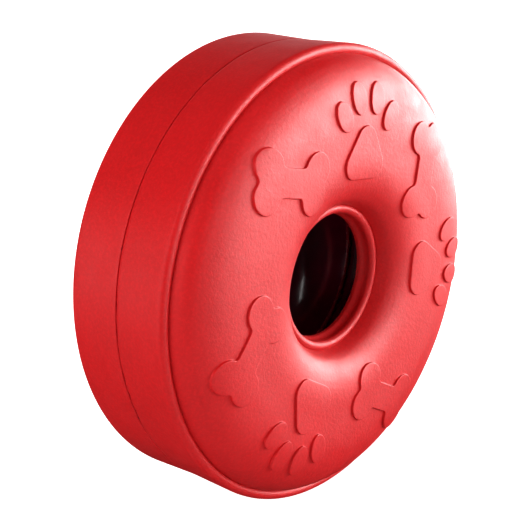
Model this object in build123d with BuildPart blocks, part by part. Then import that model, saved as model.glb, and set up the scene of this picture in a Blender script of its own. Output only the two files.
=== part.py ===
"""A thick hollow rubber ring toy, in the form of a small wheel.

Two moulded half rings are bonded back to back on the middle plane. Each half has a domed face
with raised motifs, a beaded lip round the bore, and half of a barrel-shaped treat cavity.
The ring stands on its tread: its axis is Y, the front face looks along -Y, and +Z is up.
The origin is the centre of the bore. All sizes are in millimetres.
"""

import os
from math import cos, radians, sin

from build123d import *

# Tread: a shallow waist on the middle plane, between two slightly larger rims
waist_radius = 47.5
rim_radius = 47.8
rim_half_width = 12.4
rim_bead_radius = 1.2
rim_groove_angle = 135

# Domed face: it leaves the rim groove steeply, turns over a full shoulder, is level at its
# crown and rolls down the throat to the bore bead
shoulder_radius = 44.0
shoulder_height = 15.2
crown_radius = 29.0
crown_height = 18.7
throat_radius = 17.2
throat_height = 16.6
dome_foot_slope = 76
shoulder_slope = 44
throat_slope = 38
dome_bore_slope = 72

# Bead and funnel round the bore
bore_bead_radius = 1.0
bore_bead_ring_radius = 14.5
bore_bead_height = 12.9
bore_groove_angle = 35
lip_radius = 13.0
lip_outer_height = 11.0
lip_inner_height = 10.0
funnel_sag = 0.30

# Barrel cavity, widest on the middle plane
cavity_radius = 23.8
cavity_bulge = 2.2

# Bond between the halves: a thin cured film with a bead squeezed out into the cavity
bond_thickness = 0.20
bond_recess = 0.25
joint_chamfer = 0.12
squeeze_out_radius = 0.45
squeeze_out_reach = 0.60

# Raised motifs, four bones and three paws, spread round the crown
motif_height = 0.50
motif_edge_radius = 0.15
motif_root_depth = 1.0
motif_circle_radius = 31.0
bone_angles = (127, 37, 291, 190)
paw_angles = (82, 353, 239)
bone_tilt = 40
bone_length = 20.5
bone_shaft_width = 5.8
bone_knob_radius = 3.5
bone_knob_spread = 2.8
bone_notch_radius = 1.0
pad_tip_radius = 3.1
pad_heel_radius = 3.0
pad_heel_spread = 3.0
pad_length = 4.8
pad_offset = -6.7
toe_length_radius = 3.3
toe_width_radius = 2.2
toe_angles = (-56, -19, 19, 56)
toe_lean = 0.6
toe_reach = 9.2
toe_offset = -2.2

half_bond = bond_thickness / 2

# Section planes: X is the radius and Y is the height above the middle plane
front_section = Plane(origin=(0, 0, 0), x_dir=(1, 0, 0), z_dir=(0, 0, -1))
joint_section = Plane.XY
front_view = Plane.XZ


def polar(radius, angle):
    """The point at a radius and an angle in degrees from the origin."""
    return Vector(radius * cos(radians(angle)), radius * sin(radians(angle)))


rim_bead_centre = Vector(rim_radius - rim_bead_radius, rim_half_width - rim_bead_radius)
bore_bead_centre = Vector(bore_bead_ring_radius, bore_bead_height)
dome_foot = rim_bead_centre + polar(rim_bead_radius, rim_groove_angle)
dome_shoulder = Vector(shoulder_radius, shoulder_height)
dome_crown = Vector(crown_radius, crown_height)
dome_throat = Vector(throat_radius, throat_height)
dome_end = bore_bead_centre + polar(bore_bead_radius, bore_groove_angle)


def dome_line(lift=0.0):
    """The face's outline from the rim groove, over the shoulder and crown, down to the bore bead."""
    points = (dome_foot, dome_shoulder, dome_crown, dome_throat, dome_end)
    slopes = (dome_foot_slope, shoulder_slope, 0, -throat_slope, -dome_bore_slope)
    return Spline(
        [point + Vector(0, lift) for point in points],
        tangents=[polar(1, 180 - slope) for slope in slopes],
    )


# One half's section, from the joint face round the outside and back through the cavity
with BuildSketch(front_section) as half_section:
    with BuildLine():
        joint_face = Line((cavity_radius, half_bond), (waist_radius - joint_chamfer, half_bond))
        chamfer_edge = Line(joint_face @ 1, (waist_radius, half_bond + joint_chamfer))
        rim_bead = CenterArc(rim_bead_centre, rim_bead_radius, 0, rim_groove_angle)
        Line(chamfer_edge @ 1, rim_bead @ 0)
        dome_line()
        bore_bead_sweep = 180 - bore_groove_angle
        bore_bead = CenterArc(bore_bead_centre, bore_bead_radius, bore_groove_angle, bore_bead_sweep)
        funnel = SagittaArc(bore_bead @ 1, (lip_radius, lip_outer_height), funnel_sag)
        lip_land = Line(funnel @ 1, (lip_radius, lip_inner_height))
        SagittaArc(lip_land @ 1, joint_face @ 0, cavity_bulge)
    make_face()

# A bone lying along X
bone_knob_x = bone_length / 2 - bone_knob_radius
with BuildSketch() as bone:
    Rectangle(2 * bone_knob_x, bone_shaft_width)
    with GridLocations(2 * bone_knob_x, 2 * bone_knob_spread, 2, 2):
        Circle(bone_knob_radius)
    fillet(bone.vertices(), bone_notch_radius)

# A paw print with its toes pointing along X
with BuildSketch() as paw_pad:
    with Locations((pad_offset + pad_length, 0)):
        Circle(pad_tip_radius)
    with Locations((pad_offset, pad_heel_spread), (pad_offset, -pad_heel_spread)):
        Circle(pad_heel_radius)
    make_hull()
with BuildSketch() as paw:
    add(paw_pad.sketch)
    for angle in toe_angles:
        toe_centre = polar(toe_reach, angle) + Vector(toe_offset, 0)
        with Locations(Location(toe_centre, (0, 0, angle * toe_lean))):
            Ellipse(toe_length_radius, toe_width_radius)

# The motifs, raised straight out of the front face and kept to the lifted dome
with BuildPart() as front_motifs:
    with BuildSketch(front_view):
        for shape, angles, tilt in ((bone, bone_angles, bone_tilt), (paw, paw_angles, 0)):
            for angle in angles:
                place = Location(polar(motif_circle_radius, angle), (0, 0, angle + tilt))
                add(shape.sketch.moved(place))
    extrude(amount=crown_height + 2 * motif_height)
    with BuildSketch(front_section):
        with BuildLine():
            raised_face = dome_line(motif_height)
            root_foot = dome_foot - Vector(0, motif_root_depth)
            root_end = dome_end - Vector(0, motif_root_depth)
            Polyline(raised_face @ 1, root_end, root_foot, raised_face @ 0)
        make_face()
    revolve(axis=Axis.Y, mode=Mode.INTERSECT)
    for motif in front_motifs.solids():
        top_face = motif.faces().sort_by(Axis.Y)[0]
        fillet(top_face.edges(), motif_edge_radius)

with BuildPart() as front_half:
    revolve(half_section.sketch, axis=Axis.Y)
    add(front_motifs.part)
front_half.part.label = "front_half"

with BuildPart() as rear_half:
    add(front_half.part, rotation=(0, 0, 180))
rear_half.part.label = "rear_half"

with BuildPart() as seam_bond:
    with BuildSketch(joint_section):
        squeeze_out_centre = cavity_radius - squeeze_out_reach
        film_width = waist_radius - bond_recess - squeeze_out_centre
        with Locations((squeeze_out_centre + film_width / 2, 0)):
            Rectangle(film_width, bond_thickness)
        with Locations((squeeze_out_centre, 0)):
            Circle(squeeze_out_radius)
    revolve(axis=Axis.Y)
seam_bond.part.label = "seam_bond"

os.makedirs("parts", exist_ok=True)
for piece in (front_half, rear_half, seam_bond):
    export_step(piece.part, f"parts/{piece.part.label}.step")
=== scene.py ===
"""The look of a hollow rubber ring toy: two moulded halves, the bond between them, light and camera.

The ring's axis is Y: its front face looks along -Y, and +Z is up. A section point is (radius, height),
with the height measured from the middle plane, in millimetres. Meshes are in metres.
"""

from math import acos, atan2, ceil, cos, hypot, pi, radians, sin, sqrt, tau

import bpy
import numpy as np
from mathutils import Matrix, Vector
from mathutils.geometry import delaunay_2d_cdt


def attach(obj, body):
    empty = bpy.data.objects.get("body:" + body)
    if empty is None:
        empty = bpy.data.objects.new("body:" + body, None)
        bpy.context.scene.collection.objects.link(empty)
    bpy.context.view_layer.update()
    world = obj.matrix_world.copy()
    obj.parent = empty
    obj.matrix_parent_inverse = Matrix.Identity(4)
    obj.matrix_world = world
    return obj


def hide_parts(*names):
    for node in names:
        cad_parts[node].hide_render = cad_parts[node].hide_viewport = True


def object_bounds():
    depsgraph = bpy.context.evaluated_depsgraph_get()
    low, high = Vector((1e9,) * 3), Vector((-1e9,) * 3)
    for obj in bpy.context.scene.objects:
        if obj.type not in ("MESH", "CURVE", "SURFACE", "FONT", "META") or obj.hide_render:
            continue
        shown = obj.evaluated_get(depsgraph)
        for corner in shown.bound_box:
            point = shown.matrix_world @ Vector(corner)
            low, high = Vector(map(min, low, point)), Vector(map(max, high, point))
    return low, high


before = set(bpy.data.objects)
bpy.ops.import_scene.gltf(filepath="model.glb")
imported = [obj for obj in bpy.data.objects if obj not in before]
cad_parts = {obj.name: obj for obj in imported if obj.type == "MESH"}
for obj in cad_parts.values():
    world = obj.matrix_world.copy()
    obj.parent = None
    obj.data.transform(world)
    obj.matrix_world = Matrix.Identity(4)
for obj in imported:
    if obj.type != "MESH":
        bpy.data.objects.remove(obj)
cad_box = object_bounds()

MM = 0.001

# Tread and rim bead
WAIST_RADIUS = 47.5
RIM_RADIUS = 47.8
RIM_HALF_WIDTH = 12.4
RIM_BEAD_RADIUS = 1.2
RIM_GROOVE_ANGLE = 135

# Domed face, from the rim groove over the shoulder and the crown to the bore bead
SHOULDER = (44.0, 15.2)
CROWN = (29.0, 18.7)
THROAT = (17.2, 16.6)
FOOT_SLOPE, SHOULDER_SLOPE, THROAT_SLOPE, BORE_SLOPE = 76, 44, 38, 72

# Bead, funnel and lip round the bore
BORE_BEAD_RADIUS = 1.0
BORE_BEAD_CENTRE = (14.5, 12.9)
BORE_GROOVE_ANGLE = 35
LIP_RADIUS = 13.0
LIP_OUTER, LIP_INNER = 11.0, 10.0
LIP_ROUNDING = 0.22
FUNNEL_SAG = 0.30

# Barrel cavity, which starts a little way in from the lip
CAVITY_RADIUS = 23.8
CAVITY_BULGE = 2.2
CAVITY_START = 0.3

# Joint and bond on the middle plane
HALF_BOND = 0.10
JOINT_CHAMFER = 0.12
JOINT_WAVER = 0.35
JOINT_CREASE = 0.35
JOINT_EDGE_WIDTH = 1.2
JOINT_INNER_WIDTH = 1.0
TREAD_START = 0.9
BOND_RECESS = 0.25
BOND_EDGE_ROUNDING = 0.06
SQUEEZE_OUT_RADIUS = 0.42
SQUEEZE_OUT_REACH = 0.60
SQUEEZE_OUT_WAVERS = (0.06, 0.04)

# Where the joint gapes a little: (angle and spread in degrees, depth)
JOINT_GAPS = ((175, 1.2, 0.20), (181, 0.8, 0.16), (193, 1.6, 0.22), (198, 1.2, 0.26), (203, 2.0, 0.24))
# Where cured rubber stands out of the joint: (angle and spread in degrees, height)
JOINT_NIBS = ((205, 0.35, 0.42), (162, 0.3, 0.34), (96, 0.4, 0.30), (318, 0.35, 0.34))

# Raised motifs, in the same places as on the CAD faces
MOTIF_HEIGHT = 0.50
MOTIF_EDGE_RADIUS = 0.10
MOTIF_ROOT_RADIUS = 0.05
MOTIF_WALL_LEAN, MOTIF_WALL_WIDTH = 6, 0.02
MOTIF_CIRCLE_RADIUS = 31.0
BONE_ANGLES = (127, 37, 291, 190)
PAW_ANGLES = (82, 353, 239)
BONE_TILT = 40
KNOB_X, KNOB_Y, KNOB_RADIUS = 6.75, 2.8, 3.5
SHAFT_HALF_WIDTH = 2.9
NOTCH_RADIUS = 1.0
PAD_TIP = (-1.9, 0.0, 3.1)
PAD_HEEL = (-6.7, 3.0, 3.0)
TOE_LENGTH, TOE_WIDTH = 3.3, 2.2
TOE_ANGLES = (-56, -19, 19, 56)
TOE_REACH, TOE_OFFSET, TOE_LEAN = 9.2, -2.2, 0.6

# Mesh fineness. A motif's borders are where the dome's mesh, its brim and its top's mesh start, in
# from its outline, and loose points keep clear of the outline by a clearance
SEGMENTS = 400
OUTLINE_STEP = 0.35
TOE_POINTS = 44
MOTIF_ZONE = (19.6, 42.9)
MOTIF_BORDERS = (-0.32, 0.34, 0.62)
FACE_STEP = 1.05
INNER_CLEARANCE, OUTER_CLEARANCE = 1.0, 0.75


# ---------------------------------------------------------------- sections


def polar(radius, angle):
    """The point at a radius and an angle in degrees from the origin."""
    return np.array((radius * cos(radians(angle)), radius * sin(radians(angle))))


def arc(centre, radius, start, end, steps):
    """Points of an arc from one angle to another, in degrees."""
    angles = np.radians(np.linspace(start, end, steps + 1))
    return np.asarray(centre) + radius * np.column_stack((np.cos(angles), np.sin(angles)))


def line(start, end, steps):
    """Points of a straight line, both ends included."""
    return np.linspace(start, end, steps + 1)


def bowed(start, end, sag, steps):
    """Points from start to end along a shallow bow whose middle stands sag to the left."""
    points = line(start, end, steps)
    along = points[-1] - points[0]
    left = np.array((-along[1], along[0])) / np.linalg.norm(along)
    t = np.linspace(0, 1, steps + 1)[:, None]
    return points + left * (4 * sag * t * (1 - t))


def hermite(start, end, start_slope, end_slope, steps):
    """A cubic from start in to end. A slope, in degrees, is positive where it climbs inward."""
    start, end = np.asarray(start), np.asarray(end)
    length = np.linalg.norm(end - start)
    t = np.linspace(0, 1, steps + 1)[:, None]
    leave, arrive = length * polar(1, 180 - start_slope), length * polar(1, 180 - end_slope)
    return (
        (2 * t**3 - 3 * t**2 + 1) * start
        + (t**3 - 2 * t**2 + t) * leave
        + (3 * t**2 - 2 * t**3) * end
        + (t**3 - t**2) * arrive
    )


rim_bead_centre = np.array((RIM_RADIUS - RIM_BEAD_RADIUS, RIM_HALF_WIDTH - RIM_BEAD_RADIUS))
dome_foot = rim_bead_centre + polar(RIM_BEAD_RADIUS, RIM_GROOVE_ANGLE)
dome_end = np.array(BORE_BEAD_CENTRE) + polar(BORE_BEAD_RADIUS, BORE_GROOVE_ANGLE)
dome_line = np.vstack(
    (
        hermite(dome_foot, SHOULDER, FOOT_SLOPE, SHOULDER_SLOPE, 120)[:-1],
        hermite(SHOULDER, CROWN, SHOULDER_SLOPE, 0, 240)[:-1],
        hermite(CROWN, THROAT, 0, -THROAT_SLOPE, 240)[:-1],
        hermite(THROAT, dome_end, -THROAT_SLOPE, -BORE_SLOPE, 80),
    )
)


def dome_height(radius):
    """The height of the plain dome at a radius."""
    return np.interp(radius, dome_line[::-1, 0], dome_line[::-1, 1])


def dome_between(outer, inner, steps):
    """Section points of the dome from one radius in to another, closer together where it is steep."""
    part = dome_line[(dome_line[:, 0] <= outer) & (dome_line[:, 0] >= inner)]
    travelled = np.concatenate(([0], np.cumsum(np.linalg.norm(np.diff(part, axis=0), axis=1))))
    at = np.linspace(0, travelled[-1], steps + 1)
    radius = np.interp(at, travelled, part[:, 0])
    radius[0], radius[-1] = min(outer, dome_foot[0]), max(inner, dome_end[0])
    return np.column_stack((radius, dome_height(radius)))


# ---------------------------------------------------------------- motif outlines


def outline(circles):
    """Points and outward normals of a closed outline of arcs joined by tangents, anticlockwise.

    Each circle is (x, y, radius, side): side is 1 where the outline goes round the outside of the
    circle, and -1 where the circle is a fillet in a hollow.
    """
    joins = []
    for (x0, y0, r0, s0), (x1, y1, r1, s1) in zip(circles, circles[1:] + circles[:1]):
        lean = (s0 * r0 - s1 * r1) / hypot(x1 - x0, y1 - y0)
        joins.append(atan2(y1 - y0, x1 - x0) - acos(max(-1.0, min(1.0, lean))))
    corners = []
    for (x, y, r, side), start, end in zip(circles, joins[-1:] + joins[:-1], joins):
        turn = (end - start) * side % tau * side
        for angle in np.linspace(start, start + turn, max(4, ceil(abs(turn) * r / OUTLINE_STEP)) + 1):
            normal = np.array((cos(angle), sin(angle)))
            corners.append((np.array((x, y)) + side * r * normal, normal))
    points, normals = [], []
    for (point, normal), (after, _) in zip(corners, corners[1:] + corners[:1]):
        gap = np.linalg.norm(after - point)
        if gap > OUTLINE_STEP / 20:
            steps = max(1, round(gap / OUTLINE_STEP))
            points += list(line(point, after, steps)[:-1])
            normals += [normal] * steps
    return np.array(points), np.array(normals)


def bone_outline():
    """A bone along X: four knobs, a shaft, and fillets where they meet."""
    reach = KNOB_RADIUS + NOTCH_RADIUS
    shaft_y = SHAFT_HALF_WIDTH + NOTCH_RADIUS
    shaft_x = KNOB_X - sqrt(reach**2 - (shaft_y - KNOB_Y) ** 2)
    notch_x = KNOB_X + sqrt(reach**2 - KNOB_Y**2)
    circles = []
    for side in (1, -1):
        circles += [
            (side * KNOB_X, side * KNOB_Y, KNOB_RADIUS, 1),
            (side * shaft_x, side * shaft_y, NOTCH_RADIUS, -1),
            (-side * shaft_x, side * shaft_y, NOTCH_RADIUS, -1),
            (-side * KNOB_X, side * KNOB_Y, KNOB_RADIUS, 1),
            (-side * notch_x, 0.0, NOTCH_RADIUS, -1),
        ]
    return outline(circles)


def pad_outline():
    """The paw's heel pad: a hull round three circles."""
    x, y, r = PAD_HEEL
    return outline([(*PAD_TIP, 1), (x, y, r, 1), (x, -y, r, 1)])


def toe_outline(angle):
    """One toe of the paw: an ellipse that leans outward."""
    t = np.linspace(0, tau, TOE_POINTS, endpoint=False)
    points = np.column_stack((TOE_LENGTH * np.cos(t), TOE_WIDTH * np.sin(t)))
    normals = np.column_stack((np.cos(t) / TOE_LENGTH, np.sin(t) / TOE_WIDTH))
    normals /= np.linalg.norm(normals, axis=1)[:, None]
    centre = polar(TOE_REACH, angle) + (TOE_OFFSET, 0)
    return turned(points, angle * TOE_LEAN) + centre, turned(normals, angle * TOE_LEAN)


def turned(points, angle):
    """Points turned about the origin by an angle in degrees."""
    c, s = cos(radians(angle)), sin(radians(angle))
    return points @ np.array(((c, s), (-s, c)))


def motif_outlines():
    """Every raised outline on the front face, as seen from the front."""
    placed = []
    paw = [pad_outline()] + [toe_outline(angle) for angle in TOE_ANGLES]
    for shapes, angles, tilt in (([bone_outline()], BONE_ANGLES, BONE_TILT), (paw, PAW_ANGLES, 0)):
        for angle in angles:
            centre = polar(MOTIF_CIRCLE_RADIUS, angle)
            placed += [(turned(p, angle + tilt) + centre, turned(n, angle + tilt)) for p, n in shapes]
    return placed


def motif_edge():
    """The step round a motif, as (distance in from its outline, height), filleted and rounded."""
    foot, brim, top_border = MOTIF_BORDERS
    root = arc((-MOTIF_ROOT_RADIUS, MOTIF_ROOT_RADIUS), MOTIF_ROOT_RADIUS, -90, -MOTIF_WALL_LEAN, 3)
    top_centre = (MOTIF_EDGE_RADIUS + MOTIF_WALL_WIDTH, MOTIF_HEIGHT - MOTIF_EDGE_RADIUS)
    top = arc(top_centre, MOTIF_EDGE_RADIUS, 180 - MOTIF_WALL_LEAN, 90, 4)
    return np.vstack(((foot, 0), root, top, (brim, MOTIF_HEIGHT), (top_border, MOTIF_HEIGHT)))


# ---------------------------------------------------------------- meshes

ring_angles = np.arange(SEGMENTS) * tau / SEGMENTS


def bumps(table):
    """A length for each segment of the ring: a smooth bump at each (angle, spread, height)."""
    degrees = np.degrees(ring_angles)
    total = np.zeros(SEGMENTS)
    for angle, spread, height in table:
        away = (degrees - angle + 180) % 360 - 180
        total += height * np.exp(-((away / spread) ** 2))
    return total


def ring(radius, height):
    """One turn of a revolved section on the front side; radius and height may vary round the turn."""
    radius, height = np.broadcast_to(radius, SEGMENTS), np.broadcast_to(height, SEGMENTS)
    return np.column_stack((radius * np.cos(ring_angles), -height, radius * np.sin(ring_angles)))


def strip(first, second, count):
    """Quads between two closed rows of vertices, each given by its first index."""
    here = np.arange(count)
    after = (here + 1) % count
    return np.column_stack((first + here, first + after, second + after, second + here)).tolist()


def joint_rings():
    """Rings over the edge of the joint face, whose uneven chamfer gapes in places."""
    waver = 1 + JOINT_WAVER * np.sin(7 * ring_angles) * np.sin(23 * ring_angles + 1)
    gape = JOINT_CHAMFER * waver + bumps(JOINT_GAPS)
    crease = JOINT_CREASE * gape
    return [
        ring(WAIST_RADIUS - JOINT_EDGE_WIDTH, HALF_BOND),
        ring(WAIST_RADIUS - gape, HALF_BOND),
        ring(WAIST_RADIUS - crease, HALF_BOND + crease),
        ring(WAIST_RADIUS, HALF_BOND + gape),
    ]


def outer_rings():
    """Rings from the joint face, over the tread and the rim bead, to the motif zone of the dome."""
    tread = line((WAIST_RADIUS, TREAD_START), rim_bead_centre + (RIM_BEAD_RADIUS, 0), 8)
    section = list(tread) + list(arc(rim_bead_centre, RIM_BEAD_RADIUS, 0, RIM_GROOVE_ANGLE, 20))[1:]
    section += list(dome_between(dome_foot[0], MOTIF_ZONE[1], 16))[1:]
    return joint_rings() + [ring(*point) for point in section]


def inner_rings():
    """Rings from the motif zone, over the bore bead and the lip and through the cavity, to the joint.

    Returns the rings and the number of them that are outside the cavity.
    """
    section = list(dome_between(MOTIF_ZONE[0], dome_end[0], 10))
    section += list(arc(BORE_BEAD_CENTRE, BORE_BEAD_RADIUS, BORE_GROOVE_ANGLE, 180, 16))[1:]
    funnel_end = (LIP_RADIUS, LIP_OUTER)
    section += list(bowed(section[-1], funnel_end, FUNNEL_SAG, 8))[1:-1]
    rounding_x = LIP_RADIUS + LIP_ROUNDING
    section += list(arc((rounding_x, LIP_OUTER - LIP_ROUNDING), LIP_ROUNDING, 150, 180, 3))
    section += list(arc((rounding_x, LIP_INNER + LIP_ROUNDING), LIP_ROUNDING, 180, 240, 5))
    outside = len(section)
    cavity_start = (LIP_RADIUS + CAVITY_START, LIP_INNER)
    section += list(bowed(cavity_start, (CAVITY_RADIUS, HALF_BOND), CAVITY_BULGE, 24))[1:]
    section += [(CAVITY_RADIUS + JOINT_INNER_WIDTH, HALF_BOND)]
    return [ring(*point) for point in section], outside


def inside(loop, points):
    """Which points lie inside a closed loop."""
    x, y = points[:, 0:1], points[:, 1:2]
    x0, y0 = loop[:, 0], loop[:, 1]
    x1, y1 = np.roll(x0, -1), np.roll(y0, -1)
    crosses = (y0 > y) != (y1 > y)
    with np.errstate(divide="ignore", invalid="ignore"):
        at = x0 + (y - y0) * (x1 - x0) / (y1 - y0)
    return (crosses & (x < at)).sum(1) % 2 == 1


def face_grid(outlines):
    """Points spread evenly over the motif zone, clear of every motif's edge."""
    rows = []
    low, high = MOTIF_ZONE
    count = round((high - low) / FACE_STEP)
    for row in range(1, count):
        radius = low + (high - low) * row / count
        around = round(tau * radius / FACE_STEP)
        angles = (np.arange(around) + row % 2 / 2) * tau / around
        rows.append(radius * np.column_stack((np.cos(angles), np.sin(angles))))
    grid = np.vstack(rows)
    keep = np.ones(len(grid), bool)
    for loop, _ in outlines:
        nearest = np.linalg.norm(grid[:, None] - loop[None], axis=2).min(1)
        keep &= nearest > np.where(inside(loop, grid), INNER_CLEARANCE, OUTER_CLEARANCE)
    return grid[keep]


def motif_face(vertices, faces, outer_row, inner_row):
    """Fills the dome between two rows of vertices, with the motifs raised out of it."""
    edge = motif_edge()
    outlines = motif_outlines()
    flat, index, loops = [], [], []
    for row in (outer_row, inner_row):
        count = len(index)
        index += range(row, row + SEGMENTS)
        flat += [(v[0], v[2]) for v in vertices[row : row + SEGMENTS]]
        loops.append((count, SEGMENTS))
    for points, normals in outlines:
        rows = []
        for inset, height in edge:
            moved = points - normals * inset
            rows.append(len(vertices))
            high = dome_height(np.linalg.norm(moved, axis=1)) + height
            vertices += np.column_stack((moved[:, 0], -high, moved[:, 1])).tolist()
        for first, second in zip(rows, rows[1:]):
            faces += strip(first, second, len(points))
        for row, inset in ((rows[0], edge[0][0]), (rows[-1], edge[-1][0])):
            loops.append((len(index), len(points)))
            index += range(row, row + len(points))
            flat += (points - normals * inset).tolist()
    grid = face_grid(outlines)
    lifted = np.any([inside(loop, grid) for loop, _ in outlines], axis=0) * MOTIF_HEIGHT
    index += range(len(vertices), len(vertices) + len(grid))
    flat += grid.tolist()
    high = dome_height(np.linalg.norm(grid, axis=1)) + lifted
    vertices += np.column_stack((grid[:, 0], -high, grid[:, 1])).tolist()
    edges = [(start + k, start + (k + 1) % count) for start, count in loops for k in range(count)]
    flat = np.array(flat)
    result = delaunay_2d_cdt([Vector(p) for p in flat], edges, [], 0, 1e-5)
    corners = np.array([[result[3][corner][0] for corner in face] for face in result[2]])
    centres = flat[corners].mean(1)
    rim, bore, *edge_loops = [flat[start : start + count] for start, count in loops]
    keep = inside(rim, centres) & ~inside(bore, centres)
    for foot, top in zip(edge_loops[::2], edge_loops[1::2]):
        keep &= ~inside(foot, centres) | inside(top, centres)
    faces += np.array(index)[corners[keep]].tolist()


def half_mesh(name):
    """The front half ring, closed, with material 0 outside and 1 in the cavity."""
    first = outer_rings()
    last, outside = inner_rings()
    vertices = np.vstack(first + last).tolist()
    faces = []
    for k in range(len(first) - 1):
        faces += strip(k * SEGMENTS, (k + 1) * SEGMENTS, SEGMENTS)
    base = len(first) * SEGMENTS
    for k in range(outside - 1):
        faces += strip(base + k * SEGMENTS, base + (k + 1) * SEGMENTS, SEGMENTS)
    cavity_from = len(faces)
    for k in range(outside - 1, len(last) - 1):
        faces += strip(base + k * SEGMENTS, base + (k + 1) * SEGMENTS, SEGMENTS)
    cavity_to = len(faces)
    faces += strip(base + (len(last) - 1) * SEGMENTS, 0, SEGMENTS)
    motif_face(vertices, faces, base - SEGMENTS, base)
    mesh = closed_mesh(name, vertices, faces)
    slots = np.zeros(len(faces), int)
    slots[cavity_from:cavity_to] = 1
    mesh.polygons.foreach_set("material_index", slots)
    return mesh


def closed_mesh(name, vertices, faces):
    """A mesh in metres from millimetres, smooth but for its sharp edges, with its faces turned outward."""
    points = np.array(vertices) * MM
    tris = [(f[0], f[k], f[k + 1]) for f in faces for k in range(1, len(f) - 1)]
    a, b, c = (points[list(corner)] for corner in zip(*tris))
    if np.einsum("ij,ij->", np.cross(a, b), c) < 0:
        faces = [f[::-1] for f in faces]
    mesh = bpy.data.meshes.new(name)
    mesh.from_pydata(points.tolist(), [], faces)
    mesh.polygons.foreach_set("use_smooth", np.ones(len(faces), bool))
    mesh.set_sharp_from_angle(angle=radians(62))
    mesh.validate()
    return mesh


def bond_mesh(name):
    """The bond: a film with a ragged outer edge, and a round bead squeezed out into the cavity."""
    edge = WAIST_RADIUS - BOND_RECESS + bumps(JOINT_NIBS)
    slow, quick = SQUEEZE_OUT_WAVERS
    waver = 1 + slow * np.sin(5 * ring_angles) + quick * np.sin(13 * ring_angles + 2)
    bead = SQUEEZE_OUT_RADIUS * waver
    centre = CAVITY_RADIUS - SQUEEZE_OUT_REACH
    rings = [ring(edge - BOND_EDGE_ROUNDING, -HALF_BOND), ring(edge, -HALF_BOND / 2)]
    rings += [ring(edge, HALF_BOND / 2), ring(edge - BOND_EDGE_ROUNDING, HALF_BOND)]
    for degrees in np.linspace(15, 345, 23):
        rings.append(ring(centre + bead * cos(radians(degrees)), bead * sin(radians(degrees))))
    vertices = np.vstack(rings)
    faces = []
    for k in range(len(rings)):
        faces += strip(k * SEGMENTS, (k + 1) % len(rings) * SEGMENTS, SEGMENTS)
    return closed_mesh(name, vertices, faces)


# ---------------------------------------------------------------- materials

# Colours between which each material's pigment varies. The cavity's pair is painted shade: far darker than
# the red, for the shade deep inside the ring
RED_CLOUDS = (0.60, 0.0012, 0.004), (0.68, 0.0020, 0.006)
RED_GRAIN = (0.56, 0.0010, 0.003), (0.72, 0.0040, 0.008)
# Painted shade: the cavity wall is the same red rubber, painted dark maroon for the shade inside it
CAVITY_PAINTED_SHADE_CLOUDS = (0.07, 0.0006, 0.010), (0.12, 0.001, 0.018)
BOND_CLOUDS = (0.20, 0.004, 0.012), (0.34, 0.010, 0.020)

# Roughness between which each material's gloss varies
RED_ROUGHNESS = (0.48, 0.56)
CAVITY_ROUGHNESS = (0.12, 0.20)
BOND_ROUGHNESS = (0.18, 0.34)

# Ranges of the noise that are stretched over the colours and over the roughness, and the share of
# the grain in the red
COLOUR_RANGE = (0.35, 0.65)
GLOSS_RANGE = (0.3, 0.7)
GRAIN_SHARE = (0.35, 0.65)


def new_material(name):
    """A material, its node tree and its Principled shader."""
    material = bpy.data.materials.new(name)
    material.use_nodes = True
    tree = material.node_tree
    return material, tree, tree.nodes["Principled BSDF"]


def noise(tree, scale, detail, roughness=0.5):
    """Noise fixed to the object, whose features are about 1/scale metres across."""
    place = tree.nodes.new("ShaderNodeTexCoord")
    node = tree.nodes.new("ShaderNodeTexNoise")
    node.inputs["Scale"].default_value = scale
    node.inputs["Detail"].default_value = detail
    node.inputs["Roughness"].default_value = roughness
    tree.links.new(place.outputs["Object"], node.inputs["Vector"])
    return node.outputs["Fac"]


def remap(tree, value, old_range, new_range):
    """A value stretched from one range to another."""
    node = tree.nodes.new("ShaderNodeMapRange")
    for socket, number in zip(node.inputs[1:5], (*old_range, *new_range)):
        socket.default_value = number
    tree.links.new(value, node.inputs[0])
    return node.outputs[0]


def blend_colours(tree, factor, first, second):
    """A colour between two others."""
    node = tree.nodes.new("ShaderNodeMix")
    node.data_type = "RGBA"
    tree.links.new(factor, node.inputs["Factor"])
    for socket, colour in ((node.inputs[6], first), (node.inputs[7], second)):
        if isinstance(colour, tuple):
            socket.default_value = (*colour, 1)
        else:
            tree.links.new(colour, socket)
    return node.outputs[2]


def bump(tree, height, distance, strength, under=None):
    """A bump of a real height in metres, over another one."""
    node = tree.nodes.new("ShaderNodeBump")
    node.inputs["Strength"].default_value = strength
    node.inputs["Distance"].default_value = distance
    tree.links.new(height, node.inputs["Height"])
    if under:
        tree.links.new(under, node.inputs["Normal"])
    return node.outputs["Normal"]


def red_rubber():
    """Satin moulded rubber: a fine grain, cloudy pigment and slightly uneven gloss."""
    material, tree, shader = new_material("red_rubber")
    cloud = remap(tree, noise(tree, scale=70, detail=3), COLOUR_RANGE, (0, 1))
    speck = remap(tree, noise(tree, scale=1600, detail=2, roughness=0.6), COLOUR_RANGE, (0, 1))
    cloudy = blend_colours(tree, cloud, *RED_CLOUDS)
    grainy = blend_colours(tree, speck, *RED_GRAIN)
    mixed = blend_colours(tree, remap(tree, speck, (0, 1), GRAIN_SHARE), cloudy, grainy)
    roughness = remap(tree, noise(tree, scale=260, detail=3), GLOSS_RANGE, RED_ROUGHNESS)
    grain = bump(tree, noise(tree, scale=1400, detail=3, roughness=0.65), 0.00012, 0.5)
    ripple = bump(tree, noise(tree, scale=240, detail=2), 0.0004, 0.12, grain)
    tree.links.new(mixed, shader.inputs["Base Color"])
    tree.links.new(roughness, shader.inputs["Roughness"])
    tree.links.new(ripple, shader.inputs["Normal"])
    shader.inputs["Specular IOR Level"].default_value = 1.0
    return material


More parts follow.
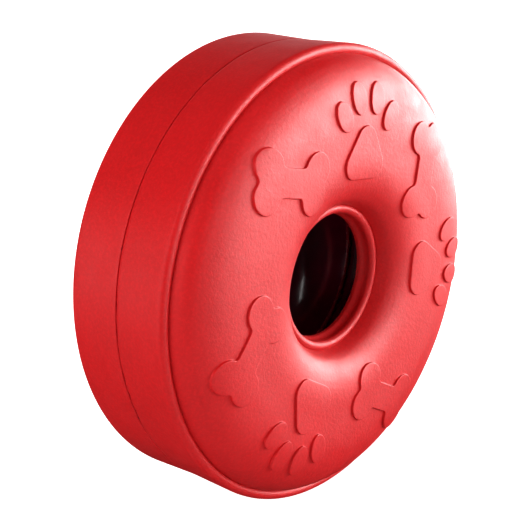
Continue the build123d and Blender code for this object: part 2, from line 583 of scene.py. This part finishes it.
def cavity_painted_shade_rubber():
    """The wall of the cavity, polished by the mould's core. Its colour is painted shade: the same red
    rubber darkened to stand for the shade deep inside the ring.
    """
    material, tree, shader = new_material("cavity_painted_shade_rubber")
    cloud = remap(tree, noise(tree, scale=90, detail=3), COLOUR_RANGE, (0, 1))
    roughness = remap(tree, noise(tree, scale=300, detail=2), GLOSS_RANGE, CAVITY_ROUGHNESS)
    ripple = bump(tree, noise(tree, scale=220, detail=2), 0.0003, 0.10)
    # Painted shade: the dark colour stands for the shade inside the cavity, with a random cloudy tone over
    # it
    tree.links.new(blend_colours(tree, cloud, *CAVITY_PAINTED_SHADE_CLOUDS), shader.inputs["Base Color"])
    tree.links.new(roughness, shader.inputs["Roughness"])
    tree.links.new(ripple, shader.inputs["Normal"])
    shader.inputs["Specular IOR Level"].default_value = 0.5
    return material


def bond_rubber():
    """The cured bond, a darker red with a glossy skin."""
    material, tree, shader = new_material("bond_rubber")
    cloud = remap(tree, noise(tree, scale=500, detail=3), COLOUR_RANGE, (0, 1))
    roughness = remap(tree, noise(tree, scale=700, detail=2), GLOSS_RANGE, BOND_ROUGHNESS)
    ripple = bump(tree, noise(tree, scale=900, detail=2), 0.0001, 0.3)
    tree.links.new(blend_colours(tree, cloud, *BOND_CLOUDS), shader.inputs["Base Color"])
    tree.links.new(roughness, shader.inputs["Roughness"])
    tree.links.new(ripple, shader.inputs["Normal"])
    return material


# ---------------------------------------------------------------- pieces


def add_piece(name, mesh, materials, node):
    """Puts a mesh in the scene in place of a CAD node, on the root body."""
    piece = bpy.data.objects.new(name, mesh)
    bpy.context.scene.collection.objects.link(piece)
    for material in materials:
        mesh.materials.append(material)
    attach(piece, "root")
    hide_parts(node)


def make_pieces():
    """Both halves and the bond between them."""
    rubber, cavity, bond = red_rubber(), cavity_painted_shade_rubber(), bond_rubber()
    front = half_mesh("front_half_rubber")
    rear = front.copy()
    rear.transform(Matrix.Rotation(pi, 4, "Z"))
    rear.name = "rear_half_rubber"
    add_piece("front_half_rubber", front, (rubber, cavity), "front_half")
    add_piece("rear_half_rubber", rear, (rubber, cavity), "rear_half")
    add_piece("seam_bond_rubber", bond_mesh("seam_bond_rubber"), (bond,), "seam_bond")


# ---------------------------------------------------------------- stage

DISPLAY_GAMMA = 0.85
FLOOR_SIZE = 6.0
FLOOR_GREY = 0.80
FLOOR_GLOW = 0.93
WORLD_LIGHT = 0.02
AZIMUTH, ELEVATION, ROLL = -49.5, 18.4, -0.35
DISTANCE = 0.2708
FOCAL_LENGTH = 87.9
SENSOR_WIDTH = 36
AIM_RIGHT, AIM_UP = -0.00438, 0.00081


def make_floor():
    """A plain pale floor under the tread, which glows for the camera and stays out of the gloss."""
    mesh = bpy.data.meshes.new("floor")
    half, height = FLOOR_SIZE / 2, cad_box[0].z
    corners = ((-half, -half), (half, -half), (half, half), (-half, half))
    mesh.from_pydata([(x, y, height) for x, y in corners], [], [(0, 1, 2, 3)])
    floor = bpy.data.objects.new("floor", mesh)
    bpy.context.scene.collection.objects.link(floor)
    material, tree, shader = new_material("floor_paper")
    shader.inputs["Base Color"].default_value = (FLOOR_GREY, FLOOR_GREY, FLOOR_GREY, 1)
    shader.inputs["Emission Color"].default_value = (1, 1, 1, 1)
    seen = tree.nodes.new("ShaderNodeLightPath").outputs["Is Camera Ray"]
    tree.links.new(remap(tree, seen, (0, 1), (0, FLOOR_GLOW)), shader.inputs["Emission Strength"])
    shader.inputs["Roughness"].default_value = 0.9
    shader.inputs["Specular IOR Level"].default_value = 0.1
    mesh.materials.append(material)
    floor.visible_glossy = False


def make_world():
    """A backdrop that is white to the camera and gives hardly any light."""
    world = bpy.data.worlds.new("studio")
    world.use_nodes = True
    tree = world.node_tree
    background = tree.nodes["Background"]
    background.inputs["Color"].default_value = (1, 1, 1, 1)
    seen = tree.nodes.new("ShaderNodeLightPath").outputs["Is Camera Ray"]
    tree.links.new(remap(tree, seen, (0, 1), (WORLD_LIGHT, 1)), background.inputs["Strength"])
    bpy.context.scene.world = world


def panel(name, place, size, power, fills=True, glints=True):
    """A soft rectangular light that faces the ring, in metres and watts.

    It lights the ring's colour where it fills, and shows in its gloss where it glints.
    """
    light = bpy.data.lights.new(name, "AREA")
    light.shape = "RECTANGLE"
    light.size, light.size_y = size
    light.energy = power
    lamp = bpy.data.objects.new(name, light)
    bpy.context.scene.collection.objects.link(lamp)
    lamp.visible_diffuse, lamp.visible_glossy = fills, glints
    lamp.visible_camera = False
    lamp.location = place
    lamp.rotation_euler = Vector(place).to_track_quat("Z", "Y").to_euler()


def make_lights():
    """Low panels on the right for the sheen, a strip for the cavity, and broad fills all round."""
    panel("key_panel", (0.64, -0.55, 0.10), (0.75, 0.40), 7.0)
    panel("sheen_panel", (0.74, -0.45, 0.05), (0.80, 0.40), 6.0, fills=False)
    panel("right_panel", (0.85, 0.12, 0.04), (0.80, 0.35), 8.5, fills=False)
    panel("left_panel", (-0.75, 0.50, 0.02), (0.5, 0.5), 0.9)
    panel("back_panel", (0.65, 0.62, 0.28), (0.6, 0.5), 0.60)
    panel("glint_panel", (-0.18, -0.75, 0.24), (0.03, 0.45), 0.40)
    panel("top_fill", (-0.2, 0.1, 1.2), (1.6, 1.6), 7.0, glints=False)
    panel("left_fill", (-1.1, 0.1, 0.15), (0.9, 0.9), 13.0, glints=False)
    panel("front_fill", (0.2, -1.1, 0.15), (0.9, 0.9), 6.5, glints=False)
    panel("back_fill", (0.3, 1.1, 0.10), (0.9, 0.9), 8.0, glints=False)


def make_camera():
    """The camera, to the left of the ring and a little above it."""
    a, e = radians(AZIMUTH), radians(ELEVATION)
    back = Vector((sin(a) * cos(e), -cos(a) * cos(e), sin(e)))
    right = Vector((cos(a), sin(a), 0))
    up = back.cross(right)
    place = back * DISTANCE
    view = (place - right * AIM_RIGHT - up * AIM_UP).normalized()
    level = (right - view * right.dot(view)).normalized()
    turn = Matrix((level, view.cross(level), view)).transposed() @ Matrix.Rotation(radians(ROLL), 3, "Z")
    data = bpy.data.cameras.new("camera")
    data.lens = FOCAL_LENGTH
    data.sensor_width = SENSOR_WIDTH
    camera = bpy.data.objects.new("camera", data)
    bpy.context.scene.collection.objects.link(camera)
    camera.matrix_world = Matrix.Translation(place) @ turn.to_4x4()
    bpy.context.scene.camera = camera


make_pieces()
make_floor()
make_world()
make_lights()
make_camera()
bpy.context.scene.view_settings.view_transform = "Standard"
bpy.context.scene.view_settings.gamma = DISPLAY_GAMMA
